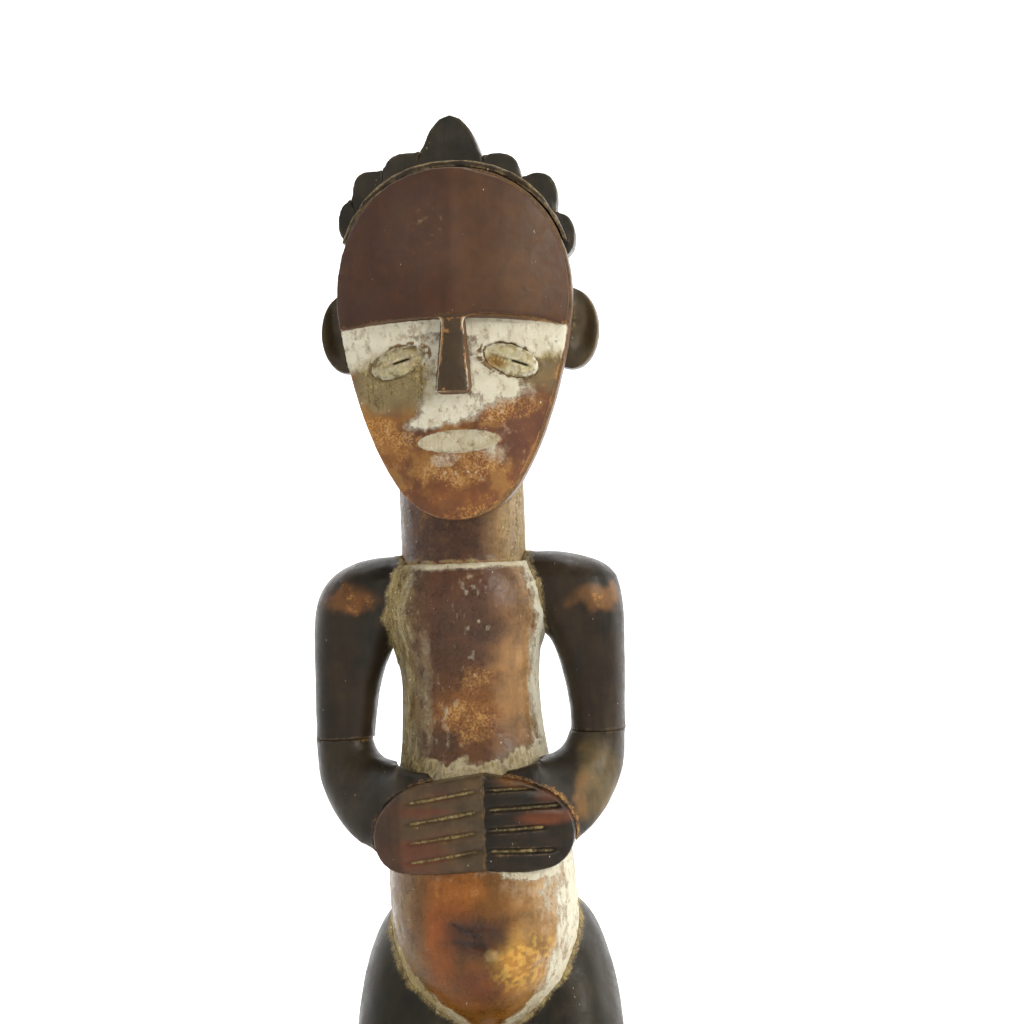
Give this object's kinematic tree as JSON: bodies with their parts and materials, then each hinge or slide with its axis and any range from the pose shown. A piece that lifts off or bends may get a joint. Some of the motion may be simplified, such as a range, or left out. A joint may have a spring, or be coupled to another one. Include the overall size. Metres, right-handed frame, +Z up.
{
  "type": "carved wooden fertility figure",
  "caption": "Standing carved wooden figure with a flat-browed face board, cowrie eyes, ridged hair, hands joined on a round belly, short heavy legs and a round base.",
  "frame": {"origin": "centre of the base's flat underside", "axes": "+Z up, the figure faces -Y, its own left side is +X"},
  "size_m": [0.1417, 0.133, 0.5715],
  "materials": {
    "dark_wood": "dark stain rubbed to a satin sheen, worn to orange on edges",
    "face_wood": "red-brown forehead, white clay rubbed under the brow, ochre jaw",
    "body_wood": "red-brown and ochre stain with a pale clay crust along the seams",
    "base_wood": "dark stained, adzed",
    "peg_wood": "bare wood",
    "shell": "cowrie shell dulled with clay"
  },
  "bodies": {
    "root": {"base": "base_wood", "torso": "body_wood", "neck": "body_wood", "neck_peg": "peg_wood", "upper_arm_left": "dark_wood", "forearm_left": "dark_wood", "hand_left": "dark_wood", "thigh_left": "dark_wood", "calf_left": "dark_wood", "shoulder_peg_left": "peg_wood", "elbow_peg_left": "peg_wood", "wrist_peg_left": "peg_wood", "hand_peg_left": "peg_wood", "hip_peg_left": "peg_wood", "knee_peg_left": "peg_wood", "ankle_peg_left": "peg_wood", "upper_arm_right": "dark_wood", "forearm_right": "dark_wood", "hand_right": "dark_wood", "thigh_right": "dark_wood", "calf_right": "dark_wood", "shoulder_peg_right": "peg_wood", "elbow_peg_right": "peg_wood", "wrist_peg_right": "peg_wood", "hand_peg_right": "peg_wood", "hip_peg_right": "peg_wood", "knee_peg_right": "peg_wood", "ankle_peg_right": "peg_wood", "skull": "dark_wood", "face_board": "face_wood", "face_peg_upper": "peg_wood", "face_peg_lower": "peg_wood", "hair_band": "dark_wood", "hair_crest": "dark_wood", "hair_row_left_1": "dark_wood", "hair_row_left_2": "dark_wood", "hair_row_left_3": "dark_wood", "ear_left": "dark_wood", "ear_peg_left": "peg_wood", "cowrie_eye_left": "shell", "hair_row_right_1": "dark_wood", "hair_row_right_2": "dark_wood", "hair_row_right_3": "dark_wood", "ear_right": "dark_wood", "ear_peg_right": "peg_wood", "cowrie_eye_right": "shell"}
  },
  "joints": []
}
